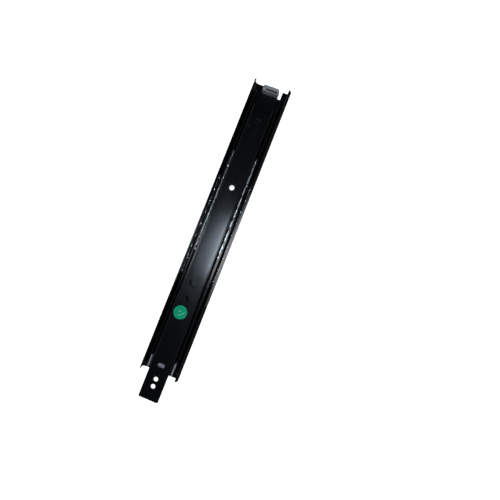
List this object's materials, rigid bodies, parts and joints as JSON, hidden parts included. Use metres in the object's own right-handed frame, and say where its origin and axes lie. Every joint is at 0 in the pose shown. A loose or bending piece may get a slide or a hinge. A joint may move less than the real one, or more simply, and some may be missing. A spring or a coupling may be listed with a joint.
{
  "type": "cabinet drawer slide",
  "caption": "Full-extension ball-bearing side-mount drawer slide: nested steel cabinet, middle and drawer rails running on caged balls, with a rear buffer and a front guide.",
  "frame": {"origin": "middle of the cabinet member's back face, which screws to the cabinet side", "axes": "+X along the rails towards the drawer front, +Z out of the cabinet side towards the drawer, +Y across the rails"},
  "size_m": [0.378, 0.045, 0.0131],
  "materials": {
    "black_steel": "glossy black electro-coat on cold-rolled steel",
    "zinc_steel": "zinc-plated stamped strip",
    "ball_steel": "polished bearing steel, lightly greased",
    "grey_nylon": "moulded grey nylon, satin",
    "green_label": "printed green sticker, satin"
  },
  "bodies": {
    "cabinet": {"cabinet_member": "black_steel", "rear_buffer": "grey_nylon"},
    "outer_cage": {"outer_ball_cage": "zinc_steel", "outer_ball_left_1": "ball_steel", "outer_ball_left_2": "ball_steel", "outer_ball_left_3": "ball_steel", "outer_ball_left_4": "ball_steel", "outer_ball_left_5": "ball_steel", "outer_ball_left_6": "ball_steel", "outer_ball_left_7": "ball_steel", "outer_ball_left_8": "ball_steel", "outer_ball_left_9": "ball_steel", "outer_ball_right_1": "ball_steel", "outer_ball_right_2": "ball_steel", "outer_ball_right_3": "ball_steel", "outer_ball_right_4": "ball_steel", "outer_ball_right_5": "ball_steel", "outer_ball_right_6": "ball_steel", "outer_ball_right_7": "ball_steel", "outer_ball_right_8": "ball_steel", "outer_ball_right_9": "ball_steel"},
    "middle": {"middle_member": "black_steel", "front_guide": "grey_nylon"},
    "inner_cage": {"inner_ball_cage": "zinc_steel", "inner_ball_left_1": "ball_steel", "inner_ball_left_2": "ball_steel", "inner_ball_left_3": "ball_steel", "inner_ball_left_4": "ball_steel", "inner_ball_left_5": "ball_steel", "inner_ball_left_6": "ball_steel", "inner_ball_left_7": "ball_steel", "inner_ball_left_8": "ball_steel", "inner_ball_left_9": "ball_steel", "inner_ball_right_1": "ball_steel", "inner_ball_right_2": "ball_steel", "inner_ball_right_3": "ball_steel", "inner_ball_right_4": "ball_steel", "inner_ball_right_5": "ball_steel", "inner_ball_right_6": "ball_steel", "inner_ball_right_7": "ball_steel", "inner_ball_right_8": "ball_steel", "inner_ball_right_9": "ball_steel"},
    "drawer": {"drawer_member": "black_steel", "inspection_sticker": "green_label"}
  },
  "joints": [
    {"name": "middle_slide", "type": "slide", "parent": "cabinet", "child": "middle", "axis": [1, 0, 0], "range_m": [0, 0.208]},
    {"name": "drawer_slide", "type": "slide", "parent": "middle", "child": "drawer", "axis": [1, 0, 0], "range_m": [-0.028, 0.114]},
    {"name": "outer_cage_slide", "type": "slide", "parent": "cabinet", "child": "outer_cage", "axis": [1, 0, 0], "range_m": [0, 0.104]},
    {"name": "inner_cage_slide", "type": "slide", "parent": "middle", "child": "inner_cage", "axis": [1, 0, 0], "range_m": [-0.014, 0.057]}
  ],
  "couplings": [
    {"joint": "outer_cage_slide", "follows": "middle_slide", "ratio": 0.5},
    {"joint": "inner_cage_slide", "follows": "drawer_slide", "ratio": 0.5}
  ]
}
